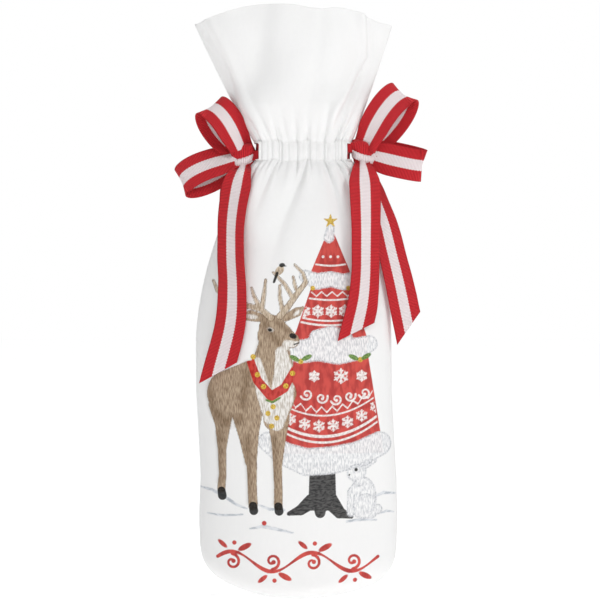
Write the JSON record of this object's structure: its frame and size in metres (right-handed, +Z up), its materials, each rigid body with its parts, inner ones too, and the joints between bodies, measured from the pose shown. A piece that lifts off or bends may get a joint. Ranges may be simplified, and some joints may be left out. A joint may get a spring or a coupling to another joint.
{
  "type": "wine gift bag",
  "caption": "Fabric wine bag with a rounded base, a gathered channel at the neck, a flared header and a striped ribbon bow at each side.",
  "frame": {"origin": "middle of the flat base, on the surface the bag stands on", "axes": "+Z up from the base to the mouth; the printed front faces -Y; +X to the right as seen from the front"},
  "size_m": [0.1704, 0.076, 0.4],
  "materials": {
    "cloth": "plain-weave white cotton, matt",
    "thread": "white cotton thread and overlocked edges",
    "ribbon": "red grosgrain with a white centre stripe"
  },
  "bodies": {
    "bag": {"front_panel": "cloth", "back_panel": "cloth", "front_facing": "cloth", "back_facing": "cloth", "left_side_seam": "thread", "right_side_seam": "thread", "bottom_seam": "thread", "lower_channel_stitching": "thread", "upper_channel_stitching": "thread", "left_ribbon_return": "ribbon", "right_ribbon_return": "ribbon"},
    "left_bow": {"left_ribbon_strands": "ribbon", "left_knot": "ribbon"},
    "left_upper_loop_body": {"left_upper_loop": "ribbon"},
    "left_lower_loop_body": {"left_lower_loop": "ribbon"},
    "left_front_tail_body": {"left_front_tail": "ribbon"},
    "left_rear_tail_body": {"left_rear_tail": "ribbon"},
    "right_bow": {"right_ribbon_strands": "ribbon", "right_knot": "ribbon"},
    "right_upper_loop_body": {"right_upper_loop": "ribbon"},
    "right_side_loop_body": {"right_side_loop": "ribbon"},
    "right_front_tail_body": {"right_front_tail": "ribbon"},
    "right_rear_tail_body": {"right_rear_tail": "ribbon"}
  },
  "joints": [
    {"name": "left_draw", "type": "slide", "parent": "bag", "child": "left_bow", "axis": [-1, 0, 0], "range_m": [0, 0.02]},
    {"name": "left_upper_loop_droop", "type": "hinge", "parent": "left_bow", "child": "left_upper_loop_body", "pos_m": [-0.036, -0.005, 0.298], "axis": [0, -1, 0], "range_deg": [0, 22]},
    {"name": "left_lower_loop_droop", "type": "hinge", "parent": "left_bow", "child": "left_lower_loop_body", "pos_m": [-0.036, -0.005, 0.298], "axis": [0, -1, 0], "range_deg": [0, 12]},
    {"name": "left_front_tail_lift", "type": "hinge", "parent": "left_bow", "child": "left_front_tail_body", "pos_m": [-0.036, -0.005, 0.298], "axis": [-1, 0, 0], "range_deg": [0, 50]},
    {"name": "left_rear_tail_lift", "type": "hinge", "parent": "left_bow", "child": "left_rear_tail_body", "pos_m": [-0.036, -0.005, 0.298], "axis": [1, 0, 0], "range_deg": [0, 35]},
    {"name": "right_draw", "type": "slide", "parent": "bag", "child": "right_bow", "axis": [1, 0, 0], "range_m": [0, 0.02]},
    {"name": "right_upper_loop_droop", "type": "hinge", "parent": "right_bow", "child": "right_upper_loop_body", "pos_m": [0.045, -0.005, 0.3005], "axis": [0, 1, 0], "range_deg": [0, 16]},
    {"name": "right_side_loop_droop", "type": "hinge", "parent": "right_bow", "child": "right_side_loop_body", "pos_m": [0.045, -0.005, 0.3005], "axis": [0, 1, 0], "range_deg": [0, 16]},
    {"name": "right_front_tail_lift", "type": "hinge", "parent": "right_bow", "child": "right_front_tail_body", "pos_m": [0.045, -0.005, 0.3005], "axis": [-1, 0, 0], "range_deg": [0, 50]},
    {"name": "right_rear_tail_lift", "type": "hinge", "parent": "right_bow", "child": "right_rear_tail_body", "pos_m": [0.045, -0.005, 0.3005], "axis": [0, -1, 0], "range_deg": [0, 16]}
  ]
}
